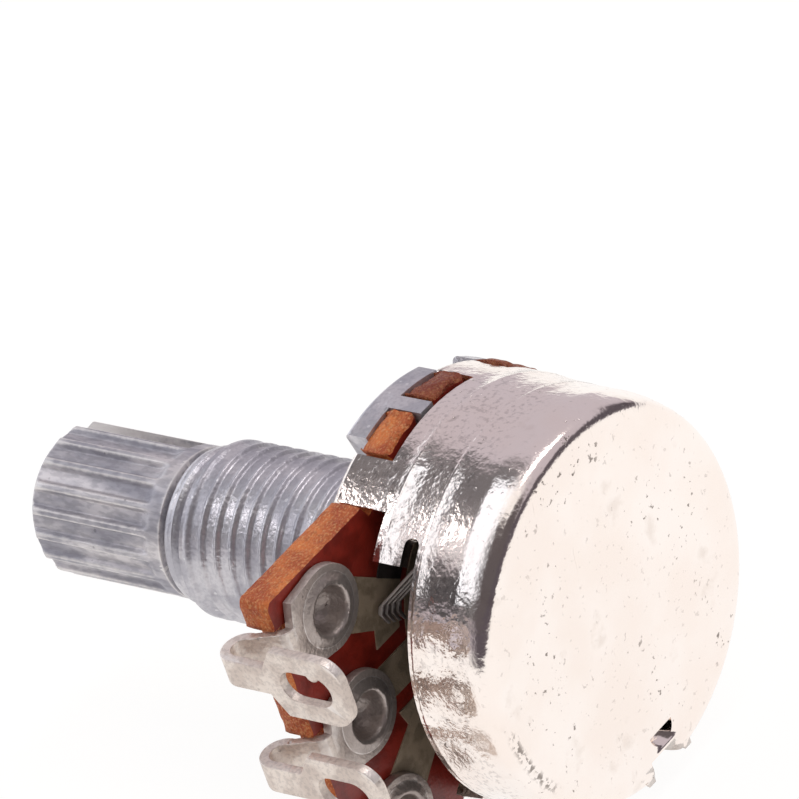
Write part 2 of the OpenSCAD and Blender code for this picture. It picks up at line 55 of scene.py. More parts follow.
# The photograph's view: angles in degrees, the picture 799 pixels square
VIEW_AZIMUTH = 137.30
VIEW_ELEVATION = 32.64
VIEW_ROLL = 19.44
VIEW_DISTANCE = 360.92 * MM
VIEW_AIM = Vector((-5.393, -4.5, 3.254)) * MM
FOCAL_PIXELS = 9437.8
PICTURE_PIXELS = 799
SENSOR_MM = 36.0

# Sizes of the turned pieces, the same as in the part's source
SHAFT_R = 3.0 * MM
JOURNAL_R = 2.5 * MM
SHAFT_LEN = 18.0 * MM
SHOULDER = 11.15 * MM
KNURL_LEN = 6.3 * MM
SLIT_LEN = 6.2 * MM
SLIT_W = 1.0 * MM
TIP_CHAMFER = 0.4 * MM
WIPER_ANGLE = math.radians(27.0)
KNURL_TEETH = 18
KNURL_DEPTH = 0.26 * MM
THREAD_R = 3.5 * MM
THREAD_PITCH = 0.75 * MM
THREAD_DEPTH = 0.15 * MM
BUSH_LEN = 11.0 * MM
LEAD_R = 3.14 * MM
LEAD_LEN = 1.2 * MM
BORE_R = 2.53 * MM
COVER_R = 8.0 * MM
FLARE_R = 8.15 * MM
FLARE_END = 3.15 * MM
FLARE_TAPER = 0.6 * MM
CORNER_R = (7.05 * MM, 7.95 * MM, 0.95 * MM)
SLOT_ANGLE = 51.5
SLOT_SIDES = (4.65 * MM, 5.3 * MM)
BOARD_FRONT = 1.05 * MM
BOARD_BACK = 2.4 * MM
PAD_BACK = 2.86 * MM
RIVET_RIM = 0.16 * MM
TINY = 1e-6


# Node helpers

def add(tree, kind, inputs=None, **settings):
    """Adds a node, sets its options, and fills its inputs with values or links."""
    node = tree.nodes.new(kind)
    for key, value in settings.items():
        setattr(node, key, value)
    for key, value in (inputs or {}).items():
        feed(tree, node.inputs[key], value)
    return node


def feed(tree, socket, value):
    if isinstance(value, bpy.types.NodeSocket):
        tree.links.new(value, socket)
    else:
        socket.default_value = value


def calc(tree, operation, *values, clamp=False):
    kind = "ShaderNodeMath"
    return add(tree, kind, dict(enumerate(values)), operation=operation, use_clamp=clamp).outputs[0]


def distance(tree, x, z):
    """The distance from the shaft axis."""
    squares = calc(tree, "ADD", calc(tree, "MULTIPLY", x, x), calc(tree, "MULTIPLY", z, z))
    return calc(tree, "SQRT", squares)


def ramp(tree, value, low, high, start=0.0, end=1.0, smooth=True):
    """Maps low..high to start..end, with soft ends."""
    inputs = {"Value": value, "From Min": low, "From Max": high, "To Min": start, "To Max": end}
    kind = "SMOOTHSTEP" if smooth else "LINEAR"
    return add(tree, "ShaderNodeMapRange", inputs, interpolation_type=kind).outputs["Result"]


def tint(tree, factor, a, b, mode="MIX"):
    """Mixes two colours."""
    node = add(tree, "ShaderNodeMix", data_type="RGBA", blend_type=mode)
    for index, value in ((0, factor), (6, a), (7, b)):
        feed(tree, node.inputs[index], value)
    return node.outputs[2]


def stretch(tree, place, factors):
    """Scales a pattern's coordinates by one factor for each axis."""
    node = add(tree, "ShaderNodeVectorMath", {0: place, 1: factors}, operation="MULTIPLY")
    return node.outputs[0]


def group_tree(name, inputs, outputs):
    """An empty shader group with named sockets."""
    tree = bpy.data.node_groups.new(name, "ShaderNodeTree")
    for label, kind, value in inputs:
        socket = tree.interface.new_socket(name=label, in_out="INPUT", socket_type=kind)
        if value is not None:
            socket.default_value = value
    for label in outputs:
        tree.interface.new_socket(name=label, in_out="OUTPUT", socket_type="NodeSocketFloat")
    return tree, tree.nodes.new("NodeGroupInput").outputs, tree.nodes.new("NodeGroupOutput").inputs


FLOAT = "NodeSocketFloat"
VECTOR = "NodeSocketVector"


def make_cloud_group():
    """Soft patches: 0 to 1 between two levels of a noise."""
    tree, given, result = group_tree("soft_patches", [
        ("Place", VECTOR, None), ("Scale", FLOAT, 1000.0), ("Detail", FLOAT, 3.0),
        ("Low", FLOAT, 0.4), ("High", FLOAT, 0.6)], ["Mask"])
    noise = add(tree, "ShaderNodeTexNoise",
                {"Vector": given["Place"], "Scale": given["Scale"], "Detail": given["Detail"]})
    feed(tree, result["Mask"], ramp(tree, noise.outputs[0], given["Low"], given["High"]))
    return tree


def make_scratch_group():
    """Thin lines where a stretched noise crosses its middle, broken up by a second noise."""
    tree, given, result = group_tree("fine_scratches", [
        ("Place", VECTOR, None), ("Scale", FLOAT, 1000.0), ("Width", FLOAT, 0.01),
        ("Share", FLOAT, 0.5)], ["Mask"])
    noise = add(tree, "ShaderNodeTexNoise",
                {"Vector": given["Place"], "Scale": given["Scale"], "Detail": 1.0})
    off = calc(tree, "ABSOLUTE", calc(tree, "SUBTRACT", noise.outputs[0], 0.5))
    line = ramp(tree, off, 0.0, given["Width"], 1.0, 0.0)
    breaks = add(tree, "ShaderNodeTexNoise",
                 {"Vector": given["Place"], "Scale": calc(tree, "MULTIPLY", given["Scale"], 2.3)})
    level = calc(tree, "SUBTRACT", 1.0, given["Share"])
    broken = ramp(tree, breaks.outputs[0], level, calc(tree, "ADD", level, 0.08))
    feed(tree, result["Mask"], calc(tree, "MULTIPLY", line, broken))
    return tree


def make_speck_group():
    """Small round spots of uneven size, in a share of the cells of a pattern."""
    tree, given, result = group_tree("small_specks", [
        ("Place", VECTOR, None), ("Scale", FLOAT, 1000.0), ("Size", FLOAT, 0.2),
        ("Share", FLOAT, 0.3)], ["Mask"])
    cells = add(tree, "ShaderNodeTexVoronoi", {"Vector": given["Place"], "Scale": given["Scale"]})
    lot = add(tree, "ShaderNodeSeparateColor", {"Color": cells.outputs["Color"]}).outputs
    size = calc(tree, "MULTIPLY", given["Size"], lot["Red"])
    spot = ramp(tree, cells.outputs["Distance"], calc(tree, "MULTIPLY", size, 0.5), size, 1.0, 0.0)
    chosen = calc(tree, "LESS_THAN", lot["Green"], given["Share"])
    feed(tree, result["Mask"], calc(tree, "MULTIPLY", spot, chosen))
    return tree


def make_wear_and_sheen_group():
    """Pale edges where the surface is sharply convex, broken up by a noise, but not on front faces: rubbed
    wear, and on the shaft's knurl also a painted highlight.
    """
    tree, given, result = group_tree("worn_edges_and_sheen", [
        ("Place", VECTOR, None), ("Scale", FLOAT, 3000.0), ("Level", FLOAT, 0.52)], ["Mask"])
    sharp = add(tree, "ShaderNodeNewGeometry").outputs["Pointiness"]
    noise = add(tree, "ShaderNodeTexNoise", {"Vector": given["Place"], "Scale": given["Scale"]})
    uneven = calc(tree, "MULTIPLY", calc(tree, "SUBTRACT", noise.outputs[0], 0.5), 0.06)
    edge = calc(tree, "ADD", sharp, uneven)
    worn_and_sheen = ramp(tree, edge, given["Level"], calc(tree, "ADD", given["Level"], 0.05))
    turned = add(tree, "ShaderNodeTexCoord").outputs["Normal"]
    across = add(tree, "ShaderNodeSeparateXYZ", {"Vector": turned}).outputs["Y"]
    feed(tree, result["Mask"], calc(tree, "MULTIPLY", worn_and_sheen, ramp(tree, across, -0.97, -0.8)))
    return tree


def make_relief_group():
    """Height of a slightly uneven surface: coarse waves and fine grain."""
    tree, given, result = group_tree("surface_relief", [
        ("Place", VECTOR, None), ("Waves", FLOAT, 800.0), ("Grain", FLOAT, 8000.0),
        ("Share", FLOAT, 0.2)], ["Height"])
    waves = add(tree, "ShaderNodeTexNoise",
                {"Vector": given["Place"], "Scale": given["Waves"], "Detail": 2.0})
    grain = add(tree, "ShaderNodeTexNoise",
                {"Vector": given["Place"], "Scale": given["Grain"], "Detail": 2.0})
    fine = calc(tree, "MULTIPLY", grain.outputs[0], given["Share"])
    feed(tree, result["Height"], calc(tree, "ADD", waves.outputs[0], fine))
    return tree


GROUPS = {
    "cloud": make_cloud_group(), "scratch": make_scratch_group(), "speck": make_speck_group(),
    "wear_and_sheen": make_wear_and_sheen_group(), "relief": make_relief_group(),
}


def use(tree, group, **inputs):
    """Places a shader group in a material and gives its output."""
    named = {key.replace("_", " "): value for key, value in inputs.items()}
    node = add(tree, "ShaderNodeGroup", node_tree=GROUPS[group])
    for key, value in named.items():
        feed(tree, node.inputs[key], value)
    return node.outputs[0]


# Materials

def material(name, metallic, **plain):
    """A new material with its plain values set on the shader's own sockets."""
    made = bpy.data.materials.new(name)
    made.use_nodes = True
    tree = made.node_tree
    shader = tree.nodes["Principled BSDF"]
    shader.inputs["Metallic"].default_value = metallic
    for key, value in plain.items():
        shader.inputs[key.replace("_", " ")].default_value = value
    return made, tree, shader, add(tree, "ShaderNodeTexCoord").outputs["Object"]


def finish_material(tree, shader, colour, roughness, height, depth):
    feed(tree, shader.inputs["Base Color"], colour)
    feed(tree, shader.inputs["Roughness"], roughness)
    bump = add(tree, "ShaderNodeBump", {"Height": height, "Strength": 1.0, "Distance": depth})
    feed(tree, shader.inputs["Normal"], bump.outputs[0])


def rgb(r, g, b):
    """An sRGB colour, 0 to 255, as the linear colour that a socket takes."""
    def linear(value):
        value /= 255.0
        return value / 12.92 if value <= 0.04045 else ((value + 0.055) / 1.055) ** 2.4
    return (linear(r), linear(g), linear(b), 1.0)


def shaft_metal():
    """Grey drawn rod, satin, with dull patches, fine grain, and pale ridges that are partly rubbed wear and
    partly a painted highlight.
    """
    made, tree, shader, place = material("shaft_metal", 0.8)
    patches = use(tree, "cloud", Place=stretch(tree, place, (1.0, 0.3, 1.0)), Scale=900.0, Detail=5.0,
                  Low=0.35, High=0.65)
    colour = tint(tree, patches, rgb(176, 174, 182), rgb(222, 217, 218))
    grain = use(tree, "cloud", Place=stretch(tree, place, (1.0, 0.35, 1.0)), Scale=5200.0, Detail=3.0,
                Low=0.42, High=0.62)
    colour = tint(tree, calc(tree, "MULTIPLY", grain, 0.3), colour, rgb(122, 119, 128))
    # Pale ridges: partly rubbed wear, partly a painted highlight along the knurl's crests
    wear_and_sheen = use(tree, "wear_and_sheen", Place=place, Level=0.507)
    colour = tint(tree, calc(tree, "MULTIPLY", wear_and_sheen, 0.85), colour, rgb(238, 234, 232))
    specks = use(tree, "speck", Place=place, Scale=1900.0, Size=0.2, Share=0.2)
    colour = tint(tree, calc(tree, "MULTIPLY", specks, 0.4), colour, rgb(92, 88, 98))
    rough = ramp(tree, patches, 0.0, 1.0, 0.6, 0.48)
    relief = use(tree, "relief", Place=stretch(tree, place, (1.0, 0.4, 1.0)), Waves=1500.0,
                 Grain=7000.0, Share=0.6)
    finish_material(tree, shader, colour, rough, relief, 0.025 * MM)
    return made


def cast_metal():
    """Zinc casting: pale grey, satin, grainy, with bright flecks and small dark pits."""
    made, tree, shader, place = material("cast_metal", 0.75)
    patches = use(tree, "cloud", Place=place, Scale=700.0, Detail=5.0)
    colour = tint(tree, patches, rgb(187, 185, 192), rgb(211, 208, 212))
    grain = use(tree, "cloud", Place=place, Scale=6000.0, Detail=3.0, Low=0.45, High=0.62)
    colour = tint(tree, calc(tree, "MULTIPLY", grain, 0.2), colour, rgb(140, 138, 148))
    specks = use(tree, "speck", Place=place, Scale=2600.0, Size=0.3, Share=0.35)
    colour = tint(tree, calc(tree, "MULTIPLY", specks, 0.5), colour, rgb(250, 249, 250))
    pits = use(tree, "speck", Place=stretch(tree, place, (1.1, 1.1, 1.1)), Scale=1700.0,
               Size=0.2, Share=0.2)
    colour = tint(tree, calc(tree, "MULTIPLY", pits, 0.35), colour, rgb(100, 98, 108))
    rough = ramp(tree, patches, 0.0, 1.0, 0.42, 0.3)
    relief = use(tree, "relief", Place=place, Waves=1100.0, Grain=6000.0, Share=0.8)
    finish_material(tree, shader, colour, rough, relief, 0.035 * MM)
    return made


def tinplate():
    """Bright tin: uneven like orange peel, wrinkled where it was drawn, with the drawn band darkened partly
    as a painted reflection mottle, speckled and scuffed.
    """
    made, tree, shader, place = material("tinplate", 1.0)
    patches = use(tree, "cloud", Place=place, Scale=300.0, Detail=5.0, Low=0.35, High=0.7)
    colour = tint(tree, patches, rgb(252, 240, 232), rgb(254, 245, 239))
    clusters = use(tree, "cloud", Place=place, Scale=260.0, Detail=4.0, Low=0.47, High=0.64)
    dots = use(tree, "cloud", Place=place, Scale=4200.0, Detail=4.0, Low=0.64, High=0.7)
    fine = calc(tree, "MULTIPLY", dots, calc(tree, "ADD", calc(tree, "MULTIPLY", clusters, 0.8), 0.25))
    spots = use(tree, "speck", Place=place, Scale=1100.0, Size=0.15, Share=0.1)
    dark = calc(tree, "MAXIMUM", fine, calc(tree, "MULTIPLY", spots, 0.6))
    colour = tint(tree, calc(tree, "MULTIPLY", dark, 0.7), colour, rgb(104, 92, 84))
    smudges = use(tree, "cloud", Place=place, Scale=620.0, Detail=5.0, Low=0.6, High=0.75)
    colour = tint(tree, calc(tree, "MULTIPLY", smudges, 0.25), colour, rgb(196, 176, 160))
    scratches = use(tree, "scratch", Place=stretch(tree, place, (1.0, 1.0, 0.25)), Scale=500.0,
                    Width=0.004, Share=0.34)
    colour = tint(tree, calc(tree, "MULTIPLY", scratches, 0.3), colour, rgb(150, 132, 122))
    x, y, z = add(tree, "ShaderNodeSeparateXYZ", {0: place}).outputs
    off = calc(tree, "ABSOLUTE", calc(tree, "SUBTRACT", distance(tree, x, z), 7.25 * MM))
    ring = calc(tree, "MULTIPLY", ramp(tree, off, 0.03 * MM, 0.3 * MM, 1.0, 0.0),
                use(tree, "cloud", Place=place, Scale=4300.0, Detail=3.0, Low=0.48, High=0.58))
    lower = calc(tree, "MULTIPLY", ramp(tree, z, -0.9 * MM, -0.1 * MM, 1.0, 0.0),
                 ramp(tree, z, -4.4 * MM, -3.4 * MM))
    there = calc(tree, "MULTIPLY", lower, calc(tree, "GREATER_THAN", x, 0.0))
    scuffed = calc(tree, "MULTIPLY", ring, there)
    colour = tint(tree, calc(tree, "MULTIPLY", scuffed, 0.75), colour, rgb(96, 84, 76))
    drawn = ramp(tree, y, 6.2 * MM, 7.2 * MM, 1.0, 0.0)
    beside = ramp(tree, calc(tree, "SUBTRACT", z, calc(tree, "MULTIPLY", x, 1.15)),
                  -1.4 * MM, 0.2 * MM, 1.0, 0.0)
    beside = calc(tree, "MULTIPLY", beside, ramp(tree, y, 7.6 * MM, 8.2 * MM, 1.0, 0.0))
    rolled = calc(tree, "MAXIMUM", drawn, beside)
    # Drawn band: darker wrinkles, partly the drawing's marks and partly a painted dark reflection mottle
    wrinkles_and_reflection_mottle = use(tree, "cloud", Place=place, Scale=4800.0, Detail=5.0, Low=0.5, High=0.66)
    colour = tint(tree, calc(tree, "MULTIPLY", calc(tree, "MULTIPLY", wrinkles_and_reflection_mottle, rolled), 0.26),
                  colour, rgb(96, 88, 92))
    rough = ramp(tree, patches, 0.0, 1.0, 0.16, 0.09)
    rough = calc(tree, "ADD", rough, calc(tree, "MULTIPLY", fine, 0.3))
    peel = use(tree, "relief", Place=place, Waves=2200.0, Grain=5200.0, Share=0.5)
    strong = calc(tree, "MULTIPLY", peel, calc(tree, "ADD", 1.0, calc(tree, "MULTIPLY", rolled, 1.1)))
    height = calc(tree, "SUBTRACT", strong, calc(tree, "MULTIPLY", dark, 0.4))
    finish_material(tree, shader, colour, rough, height, 0.013 * MM)
    return made


def tinned_sheet(name, bright, dull, metallic, rough_low, rough_high):
    """Satin tinned sheet with a fine grain, pits and soft patches, and painted shade on the riveted pads."""
    made, tree, shader, place = material(name, metallic)
    patches = use(tree, "cloud", Place=place, Scale=800.0, Detail=5.0)
    colour = tint(tree, patches, dull, bright)
    x = add(tree, "ShaderNodeSeparateXYZ", {0: place}).outputs[0]
    # Painted shade: below x = 9.6 mm (the riveted pads under the cover, and every piece nearer the axis) the
    # colour is mixed toward a dull grey
    pad_painted_shade = ramp(tree, x, 9.6 * MM, 10.8 * MM, 0.6, 0.0)
    colour = tint(tree, pad_painted_shade, colour, rgb(150, 136, 132))
    grain = use(tree, "cloud", Place=place, Scale=6500.0, Detail=3.0, Low=0.45, High=0.62)
    colour = tint(tree, calc(tree, "MULTIPLY", grain, 0.25), colour, rgb(150, 140, 136))
    specks = use(tree, "speck", Place=place, Scale=2800.0, Size=0.26, Share=0.25)
    colour = tint(tree, calc(tree, "MULTIPLY", specks, 0.35), colour, rgb(120, 106, 104))
    wear_and_sheen = use(tree, "wear_and_sheen", Place=place, Level=0.54)
    colour = tint(tree, calc(tree, "MULTIPLY", wear_and_sheen, 0.5), colour, rgb(248, 242, 238))
    rough = ramp(tree, patches, 0.0, 1.0, rough_high, rough_low)
    relief = use(tree, "relief", Place=place, Waves=1700.0, Grain=6000.0, Share=0.8)
    relief = calc(tree, "SUBTRACT", relief, calc(tree, "MULTIPLY", specks, 0.6))
    finish_material(tree, shader, colour, rough, relief, 0.04 * MM)
    return made


def phenolic():
    """Paper laminate: glossy red-brown faces, torn orange edges with a fine pale grain; the edges are
    darkened toward -x as painted shade, and the pale grain is stronger toward +x, partly as a painted
    highlight.
    """
    made, tree, shader, place = material("phenolic_laminate", 0.0, Coat_Weight=0.15)
    shader.inputs["Coat Roughness"].default_value = 0.3
    turned = add(tree, "ShaderNodeTexCoord").outputs["Normal"]
    across = add(tree, "ShaderNodeSeparateXYZ", {0: turned}).outputs["Y"]
    face = ramp(tree, calc(tree, "ABSOLUTE", across), 0.75, 0.95)
    patches = use(tree, "cloud", Place=place, Scale=900.0, Detail=4.0)
    face_colour = tint(tree, patches, rgb(118, 32, 22), rgb(146, 44, 32))
    broad = use(tree, "cloud", Place=place, Scale=900.0, Detail=5.0, Low=0.34, High=0.66)
    edge_colour = tint(tree, broad, rgb(170, 70, 24), rgb(218, 120, 56))
    x = add(tree, "ShaderNodeSeparateXYZ", {0: place}).outputs[0]
    # Painted shade: the torn edges darken toward the -x side, away from the light
    far_side_shade = ramp(tree, x, -1.0 * MM, 0.8 * MM, 0.75, 0.0)
    edge_colour = tint(tree, far_side_shade, edge_colour, rgb(112, 40, 18))
    dents = use(tree, "cloud", Place=place, Scale=3600.0, Detail=4.0, Low=0.5, High=0.68)
    edge_colour = tint(tree, calc(tree, "MULTIPLY", dents, 0.4), edge_colour, rgb(128, 48, 18))
    grain_and_glint = use(tree, "cloud", Place=stretch(tree, place, (0.8, 1.1, 0.8)), Scale=9500.0,
                 Detail=6.0, Low=0.48, High=0.66)
    # Pale fibre grain, made stronger toward +x as a painted highlight on the lit side
    grain_and_glint = calc(tree, "MULTIPLY", grain_and_glint, ramp(tree, x, -1.0 * MM, 0.8 * MM, 0.16, 0.4))
    edge_colour = tint(tree, grain_and_glint, edge_colour, rgb(240, 184, 124))
    colour = tint(tree, face, edge_colour, face_colour)
    rough = ramp(tree, face, 0.0, 1.0, 0.65, 0.36)
    relief = use(tree, "relief", Place=place, Waves=2400.0, Grain=7500.0, Share=0.9)
    softened = calc(tree, "MULTIPLY", relief, ramp(tree, face, 0.0, 1.0, 1.0, 0.1))
    finish_material(tree, shader, colour, rough, softened, 0.16 * MM)
    return made


def printed_ink(name, light, dark, metallic, rough):
    """Screen-printed ink with a fine mesh grain."""
    made, tree, shader, place = material(name, metallic)
    patches = use(tree, "cloud", Place=place, Scale=1400.0, Detail=4.0)
    colour = tint(tree, patches, dark, light)
    specks = use(tree, "speck", Place=place, Scale=4000.0, Size=0.3, Share=0.3)
    colour = tint(tree, calc(tree, "MULTIPLY", specks, 0.35), colour, rgb(60, 52, 40))
    roughness = ramp(tree, patches, 0.0, 1.0, rough + 0.08, rough - 0.05)
    relief = use(tree, "relief", Place=place, Waves=3000.0, Grain=11000.0, Share=0.8)
    finish_material(tree, shader, colour, roughness, relief, 0.015 * MM)
    return made


def moulded_plastic():
    """Dark moulded plastic of the rotor."""
    made, tree, shader, place = material("moulded_plastic", 0.0)
    patches = use(tree, "cloud", Place=place, Scale=900.0, Detail=3.0)
    colour = tint(tree, patches, rgb(40, 36, 34), rgb(60, 54, 50))
    rough = ramp(tree, patches, 0.0, 1.0, 0.55, 0.42)
    relief = use(tree, "relief", Place=place, Waves=1500.0, Grain=8000.0, Share=0.6)
    finish_material(tree, shader, colour, rough, relief, 0.02 * MM)
    return made


MATERIALS = {
    "shaft": shaft_metal(),
    "cast": cast_metal(),
    "tin": tinplate(),
    "lug": tinned_sheet("tinned_terminals", rgb(238, 226, 216), rgb(220, 206, 196), 0.65, 0.4, 0.5),
    "eyelet": tinned_sheet("tinned_eyelets", rgb(224, 215, 208), rgb(196, 186, 178), 0.7, 0.3, 0.42),
    "phenolic": phenolic(),
    "carbon": printed_ink("carbon_track", rgb(58, 52, 50), rgb(40, 36, 35), 0.0, 0.5),
    "ink": printed_ink("silver_ink", rgb(168, 150, 128), rgb(138, 122, 102), 0.15, 0.5),
    "plastic": moulded_plastic(),
    "bronze": tinned_sheet("spring_bronze", rgb(112, 99, 93), rgb(84, 74, 70), 0.6, 0.5, 0.62),
    "spring": tinned_sheet("spring_steel", rgb(120, 118, 120), rgb(84, 82, 86), 0.9, 0.3, 0.45),
}


# Mesh helpers

def link(name, mesh):
    obj = bpy.data.objects.new(name, mesh)
    bpy.context.scene.collection.objects.link(obj)
    return obj


def plain_mesh(obj):
    """Applies an object's modifiers and gives it one plain mesh."""
    depsgraph = bpy.context.evaluated_depsgraph_get()
    mesh = bpy.data.meshes.new_from_object(obj.evaluated_get(depsgraph))
    obj.modifiers.clear()
    old = obj.data
    obj.data = mesh
    bpy.data.meshes.remove(old)
    return obj


def shade(obj, angle):
    """Smooth shading, with edges sharper than an angle kept crisp."""
    obj.data.polygons.foreach_set("use_smooth", [True] * len(obj.data.polygons))
    obj.data.set_sharp_from_angle(angle=math.radians(angle))


def merged_copy(node):
    """A copy of a node's mesh with its loose triangles joined and its flat faces made whole."""
    work = bmesh.new()
    work.from_mesh(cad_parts[node].data)
    bmesh.ops.remove_doubles(work, verts=work.verts, dist=TINY)
    bmesh.ops.dissolve_limit(work, angle_limit=math.radians(0.4), verts=work.verts, edges=work.edges)
    bmesh.ops.recalc_face_normals(work, faces=work.faces)
    return work


def rounded_edges(obj, width, segments=2, limit=35):
    """Rounds the edges that are sharper than a limit."""
    bevel = obj.modifiers.new("round", "BEVEL")
    bevel.width = width
    bevel.segments = segments
    bevel.limit_method = "ANGLE"
    bevel.angle_limit = math.radians(limit)
    bevel.use_clamp_overlap = True
    bevel.harden_normals = False
    plain_mesh(obj)
    return obj


def place_piece(obj, body, slot, finish, *nodes):
    """Gives a piece its finish and its body, and lets it stand for its nodes."""
    obj.data.materials.clear()
    obj.data.materials.append(MATERIALS[finish])
    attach(obj, body)
    if nodes:
        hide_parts(*nodes)
    return obj


def dressed(node, name, body, slot, finish, width, segments=2):
    """A node's own shape with rounded edges."""
    work = merged_copy(node)
    mesh = bpy.data.meshes.new(name)
    work.to_mesh(mesh)
    work.free()
    obj = link(name, mesh)
    rounded_edges(obj, width, segments)
    shade(obj, 40)
    return place_piece(obj, body, slot, finish, node)


def turned_mesh(work, profile, segments, closed):
    """Adds a body turned about the shaft axis; a profile lists (radius, y) from the tip backwards."""
    rings = []
    for radius, y in profile:
        if radius < TINY:
            rings.append([work.verts.new((0.0, y, 0.0))])
            continue
        ring = []
        for k in range(segments):
            angle = 2 * math.pi * k / segments
            ring.append(work.verts.new((radius * math.cos(angle), y, radius * math.sin(angle))))
        rings.append(ring)
    pairs = list(zip(rings, rings[1:]))
    if closed:
        pairs.append((rings[-1], rings[0]))
    for a, b in pairs:
        for k in range(segments):
            j = (k + 1) % segments
            corners = [a[k % len(a)], a[j % len(a)], b[j % len(b)], b[k % len(b)]]
            work.faces.new(list(dict.fromkeys(corners)))
    bmesh.ops.recalc_face_normals(work, faces=work.faces)


def arc(cx, cy, radius, start, end, steps):
    """Points of a rounded corner in a profile, angles in degrees."""
    points = []
    for i in range(steps + 1):
        angle = math.radians(start + (end - start) * i / steps)
        points.append((cx + radius * math.cos(angle), cy + radius * math.sin(angle)))
    return points


# Geometry Nodes: the knurl and the thread

def geometry_tree(name, inputs):
    """An empty geometry tree with named inputs."""
    tree = bpy.data.node_groups.new(name, "GeometryNodeTree")
    tree.interface.new_socket(name="Geometry", in_out="INPUT", socket_type="NodeSocketGeometry")
    for label, kind in inputs:
        tree.interface.new_socket(name=label, in_out="INPUT", socket_type=kind)
    tree.interface.new_socket(name="Geometry", in_out="OUTPUT", socket_type="NodeSocketGeometry")
    return tree, tree.nodes.new("NodeGroupInput").outputs, tree.nodes.new("NodeGroupOutput").inputs


def polar(tree):
    """The radius, the angle in turns and the y of a point around the shaft axis."""
    position = add(tree, "GeometryNodeInputPosition").outputs[0]
    x, y, z = add(tree, "ShaderNodeSeparateXYZ", {0: position}).outputs
    radius = distance(tree, x, z)
    turn = calc(tree, "DIVIDE", calc(tree, "ARCTAN2", z, x), 2 * math.pi)
    return position, radius, turn, y


def move_in(tree, given, result, position, radius, wanted):
    """Pulls points in to a wanted radius where they stand outside it."""
    smaller = calc(tree, "MINIMUM", radius, wanted)
    safe = calc(tree, "MAXIMUM", radius, TINY)
    factor = calc(tree, "DIVIDE", smaller, safe)
    scale = add(tree, "ShaderNodeCombineXYZ", {0: factor, 1: 1.0, 2: factor}).outputs[0]
    moved = add(tree, "ShaderNodeVectorMath", {0: position, 1: scale}, operation="MULTIPLY").outputs[0]
    placed = add(tree, "GeometryNodeSetPosition", {"Geometry": given["Geometry"], "Position": moved})
    real = add(tree, "GeometryNodeRealizeInstances", {0: placed.outputs[0]})
    painted = {"Geometry": real.outputs[0], "Material": given["Material"]}
    feed(tree, result["Geometry"], add(tree, "GeometryNodeSetMaterial", painted).outputs[0])


def knurl_tree():
    """Presses straight grooves into the shaft from its tip, with narrow ridges between them."""
    tree, given, result = geometry_tree("pressed_knurl", [
        ("Teeth", FLOAT), ("Depth", FLOAT), ("Radius", FLOAT), ("Ridge", FLOAT), ("Start", FLOAT),
        ("Run out", FLOAT), ("Turned by", FLOAT), ("Material", "NodeSocketMaterial")])
    position, radius, turn, y = polar(tree)
    count = calc(tree, "MULTIPLY", calc(tree, "SUBTRACT", turn, given["Turned by"]), given["Teeth"])
    phase = calc(tree, "FRACT", calc(tree, "ADD", count, 100.0))
    off = calc(tree, "MULTIPLY", calc(tree, "ABSOLUTE", calc(tree, "SUBTRACT", phase, 0.5)), 2.0)
    from_ridge = calc(tree, "SUBTRACT", 1.0, off)
    groove = ramp(tree, from_ridge, given["Ridge"], calc(tree, "ADD", given["Ridge"], 0.3))
    along = ramp(tree, y, given["Start"], calc(tree, "SUBTRACT", given["Start"], given["Run out"]))
    cut = calc(tree, "MULTIPLY", calc(tree, "MULTIPLY", groove, along), given["Depth"])
    move_in(tree, given, result, position, radius, calc(tree, "SUBTRACT", given["Radius"], cut))
    return tree


def thread_tree():
    """Cuts a right-handed thread that fades in behind the mouth and fades out at the plate."""
    tree, given, result = geometry_tree("cut_thread", [
        ("Crest radius", FLOAT), ("Depth", FLOAT), ("Pitch", FLOAT), ("Front", FLOAT),
        ("Back", FLOAT), ("Fade", FLOAT), ("Material", "NodeSocketMaterial")])
    position, radius, turn, y = polar(tree)
    count = calc(tree, "ADD", calc(tree, "DIVIDE", y, given["Pitch"]), turn)
    phase = calc(tree, "FRACT", calc(tree, "ADD", count, 100.0))
    off = calc(tree, "MULTIPLY", calc(tree, "ABSOLUTE", calc(tree, "SUBTRACT", phase, 0.5)), 2.0)
    groove = ramp(tree, off, 0.05, 0.5)
    fade_in = ramp(tree, y, given["Front"], calc(tree, "ADD", given["Front"], given["Fade"]))
    fade_out = ramp(tree, y, given["Back"], calc(tree, "SUBTRACT", given["Back"], given["Fade"]))
    depth = calc(tree, "MULTIPLY", calc(tree, "MULTIPLY", fade_in, fade_out), given["Depth"])
    wanted = calc(tree, "SUBTRACT", given["Crest radius"], calc(tree, "MULTIPLY", groove, depth))
    inside = calc(tree, "LESS_THAN", radius, calc(tree, "MULTIPLY", given["Crest radius"], 0.85))
    wanted = calc(tree, "ADD", wanted, inside)
    move_in(tree, given, result, position, radius, wanted)
    return tree


def run_tree(obj, tree, **values):
    """Runs a geometry tree on an object and keeps the result as a plain mesh."""
    modifier = obj.modifiers.new(tree.name, "NODES")
    modifier.node_group = tree
    named = {key.replace("_", " "): value for key, value in values.items()}
    for item in tree.interface.items_tree:
        if item.in_out == "INPUT" and item.name in named:
            modifier[item.identifier] = named[item.name]
    return plain_mesh(obj)


# Pieces

def spread(start, end, count):
    return [start + (end - start) * i / count for i in range(count + 1)]


